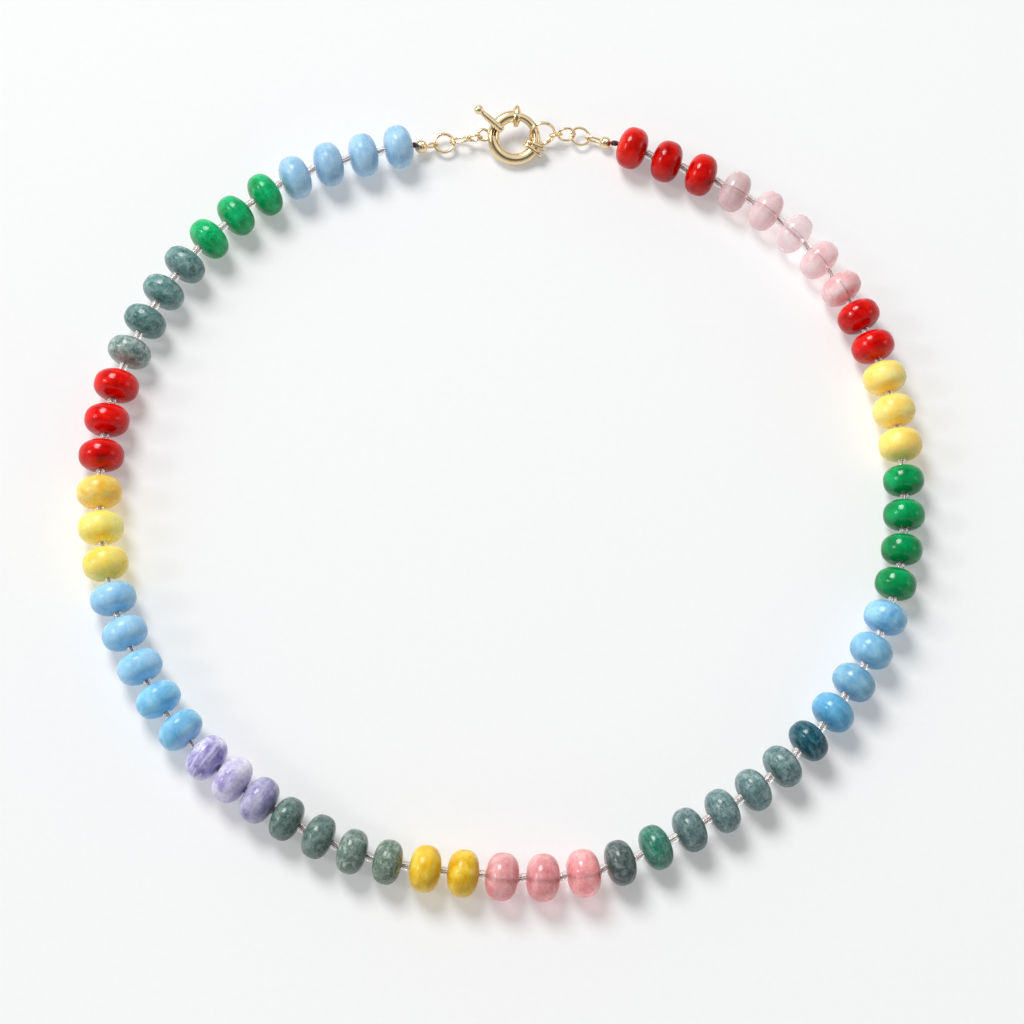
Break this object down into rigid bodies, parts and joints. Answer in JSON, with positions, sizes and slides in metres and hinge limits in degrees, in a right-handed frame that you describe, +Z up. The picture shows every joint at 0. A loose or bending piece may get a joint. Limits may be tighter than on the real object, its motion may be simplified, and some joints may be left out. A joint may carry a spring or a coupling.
{
  "type": "beaded necklace",
  "caption": "Closed beaded necklace of polished stone rondelles in coloured runs, with glass seed beads between them and a gold spring-ring clasp, lying flat in a loop.",
  "frame": {"origin": "centre of the loop's bounding box, on the surface that the beads lie on", "axes": "+Z up from that surface; +Y from the middle of the loop towards the clasp; +X to the right as seen from above with the clasp at the top"},
  "size_m": [0.1532, 0.1528, 0.0083],
  "materials": {
    "stone_beads": "polished gemstone in runs of different colours",
    "gold_metal": "polished pale yellow gold plating",
    "glass_spacers": "clear glass with a faint pink tint",
    "thread": "dark maroon beading thread"
  },
  "bodies": {
    "necklace": {"bead_string_left": "stone_beads", "bead_string_right": "stone_beads", "bead_tip_left": "gold_metal", "bead_tip_right": "gold_metal", "chain_link_left_1": "gold_metal", "chain_link_left_2": "gold_metal", "chain_link_right_1": "gold_metal", "chain_link_right_2": "gold_metal", "clasp_ring": "gold_metal", "jump_ring_left": "gold_metal", "jump_ring_right": "gold_metal", "large_jump_ring": "gold_metal"},
    "gate": {"clasp_gate": "gold_metal"}
  },
  "joints": [
    {"name": "gate_slide", "type": "hinge", "parent": "necklace", "child": "gate", "pos_m": [0.0023, 0.07051, 0.00275], "axis": [0.0126, -0.3418, 0.9397], "range_deg": [0, 22], "stiffness_Nm_per_rad": 0.002, "springref_deg": -20.05}
  ]
}
